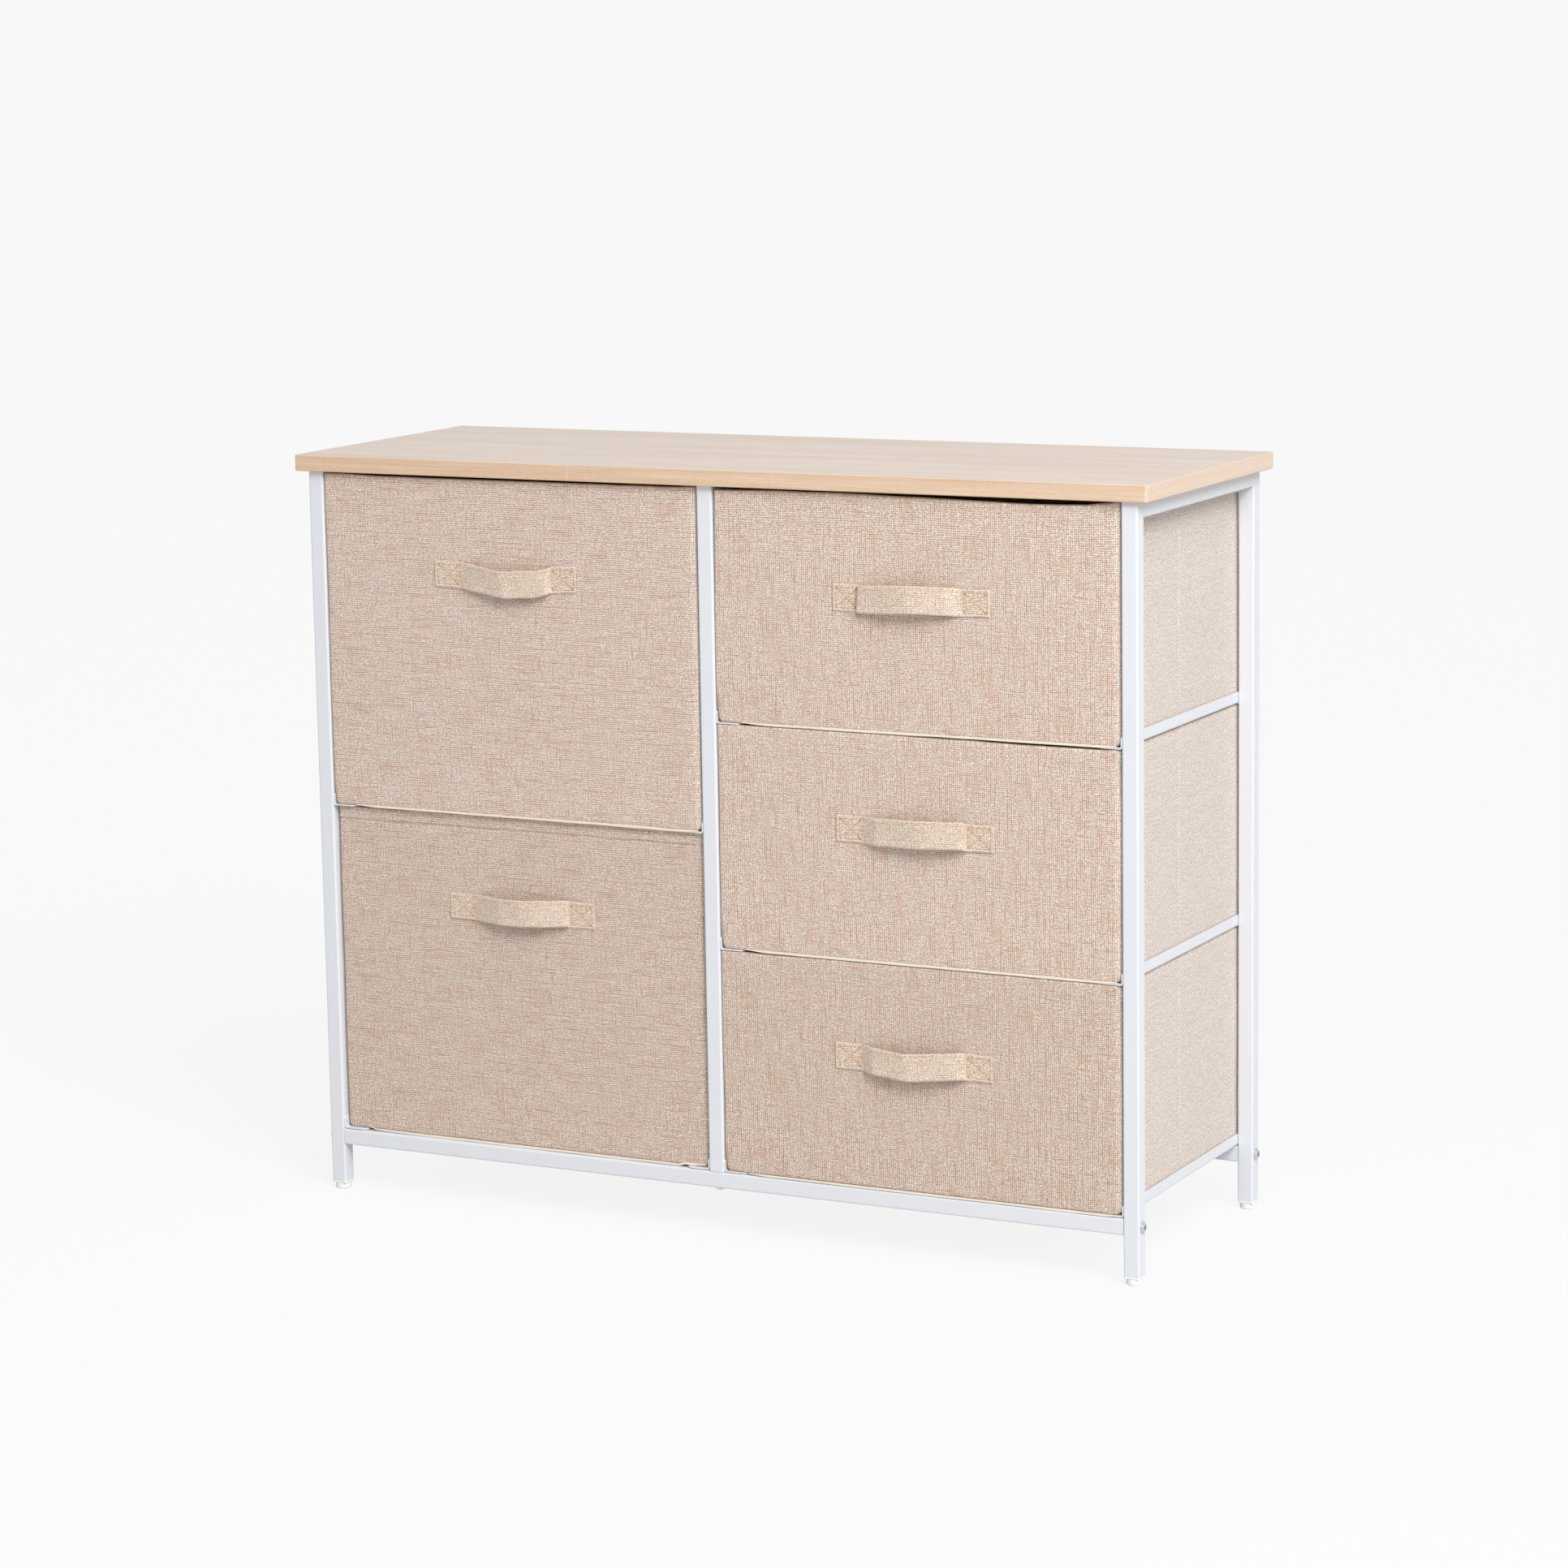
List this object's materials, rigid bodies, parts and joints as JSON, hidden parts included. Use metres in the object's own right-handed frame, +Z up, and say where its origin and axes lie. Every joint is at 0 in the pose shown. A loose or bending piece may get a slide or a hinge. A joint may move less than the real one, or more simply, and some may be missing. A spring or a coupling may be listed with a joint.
{
  "type": "fabric drawer dresser",
  "caption": "Wide low dresser: wood-look top on a slim square-tube steel frame, with stiffened fabric drawers that slide on sheet-steel runners, tall ones on the left and low ones on the right.",
  "frame": {"origin": "on the floor, under the middle of the tabletop", "axes": "+X to the right as seen from the front, +Y to the back, +Z up; the drawers open towards -Y"},
  "size_m": [0.85, 0.3098, 0.7],
  "materials": {
    "oak_laminate": "printed light oak laminate, satin",
    "white_powder_coat": "white powder coat, satin",
    "zinc_plated_steel": "bright zinc plate",
    "milky_plastic": "milky white moulded polyethylene",
    "linen_look_fabric": "linen-look woven polyester, cream and brown",
    "lining_fabric": "plain non-woven lining",
    "fibreboard": "bare fibreboard",
    "grey_board": "grey board",
    "cream_binding": "folded cream binding tape",
    "handle_webbing": "coarse open-weave strap"
  },
  "bodies": {
    "frame": {"tabletop": "oak_laminate", "left_front_post": "white_powder_coat", "left_rear_post": "white_powder_coat", "middle_front_post": "white_powder_coat", "middle_rear_post": "white_powder_coat", "right_front_post": "white_powder_coat", "right_rear_post": "white_powder_coat", "left_top_rail": "white_powder_coat", "middle_top_rail": "white_powder_coat", "right_top_rail": "white_powder_coat", "front_crossbar": "white_powder_coat", "rear_crossbar": "white_powder_coat", "left_runners": "white_powder_coat", "middle_left_runners": "white_powder_coat", "middle_right_runners": "white_powder_coat", "right_runners": "white_powder_coat", "frame_bolts": "zinc_plated_steel", "threaded_inserts": "zinc_plated_steel", "tabletop_screws": "zinc_plated_steel", "foot_plugs": "milky_plastic"},
    "lower_left_drawer": {"lower_left_drawer_cover": "linen_look_fabric", "lower_left_drawer_lining": "lining_fabric", "lower_left_drawer_front_board": "fibreboard", "lower_left_drawer_side_and_back_boards": "grey_board", "lower_left_drawer_floor_board": "fibreboard", "lower_left_drawer_binding": "cream_binding", "lower_left_drawer_handle": "handle_webbing"},
    "upper_left_drawer": {"upper_left_drawer_cover": "linen_look_fabric", "upper_left_drawer_lining": "lining_fabric", "upper_left_drawer_front_board": "fibreboard", "upper_left_drawer_side_and_back_boards": "grey_board", "upper_left_drawer_floor_board": "fibreboard", "upper_left_drawer_binding": "cream_binding", "upper_left_drawer_handle": "handle_webbing"},
    "lower_right_drawer": {"lower_right_drawer_cover": "linen_look_fabric", "lower_right_drawer_lining": "lining_fabric", "lower_right_drawer_front_board": "fibreboard", "lower_right_drawer_side_and_back_boards": "grey_board", "lower_right_drawer_floor_board": "fibreboard", "lower_right_drawer_binding": "cream_binding", "lower_right_drawer_handle": "handle_webbing"},
    "middle_right_drawer": {"middle_right_drawer_cover": "linen_look_fabric", "middle_right_drawer_lining": "lining_fabric", "middle_right_drawer_front_board": "fibreboard", "middle_right_drawer_side_and_back_boards": "grey_board", "middle_right_drawer_floor_board": "fibreboard", "middle_right_drawer_binding": "cream_binding", "middle_right_drawer_handle": "handle_webbing"},
    "upper_right_drawer": {"upper_right_drawer_cover": "linen_look_fabric", "upper_right_drawer_lining": "lining_fabric", "upper_right_drawer_front_board": "fibreboard", "upper_right_drawer_side_and_back_boards": "grey_board", "upper_right_drawer_floor_board": "fibreboard", "upper_right_drawer_binding": "cream_binding", "upper_right_drawer_handle": "handle_webbing"},
    "front_left_levelling_foot": {"front_left_foot": "milky_plastic"},
    "front_right_levelling_foot": {"front_right_foot": "milky_plastic"},
    "rear_left_levelling_foot": {"rear_left_foot": "milky_plastic"},
    "rear_right_levelling_foot": {"rear_right_foot": "milky_plastic"}
  },
  "joints": [
    {"name": "lower_left_drawer_slide", "type": "slide", "parent": "frame", "child": "lower_left_drawer", "axis": [0, -1, 0], "range_m": [0, 0.3]},
    {"name": "upper_left_drawer_slide", "type": "slide", "parent": "frame", "child": "upper_left_drawer", "axis": [0, -1, 0], "range_m": [0, 0.3]},
    {"name": "lower_right_drawer_slide", "type": "slide", "parent": "frame", "child": "lower_right_drawer", "axis": [0, -1, 0], "range_m": [0, 0.3]},
    {"name": "middle_right_drawer_slide", "type": "slide", "parent": "frame", "child": "middle_right_drawer", "axis": [0, -1, 0], "range_m": [0, 0.3]},
    {"name": "upper_right_drawer_slide", "type": "slide", "parent": "frame", "child": "upper_right_drawer", "axis": [0, -1, 0], "range_m": [0, 0.3]},
    {"name": "front_left_foot_screw", "type": "slide", "parent": "frame", "child": "front_left_levelling_foot", "axis": [0, 0, -1], "range_m": [0, 0.008]},
    {"name": "front_right_foot_screw", "type": "slide", "parent": "frame", "child": "front_right_levelling_foot", "axis": [0, 0, -1], "range_m": [0, 0.008]},
    {"name": "rear_left_foot_screw", "type": "slide", "parent": "frame", "child": "rear_left_levelling_foot", "axis": [0, 0, -1], "range_m": [0, 0.008]},
    {"name": "rear_right_foot_screw", "type": "slide", "parent": "frame", "child": "rear_right_levelling_foot", "axis": [0, 0, -1], "range_m": [0, 0.008]}
  ]
}
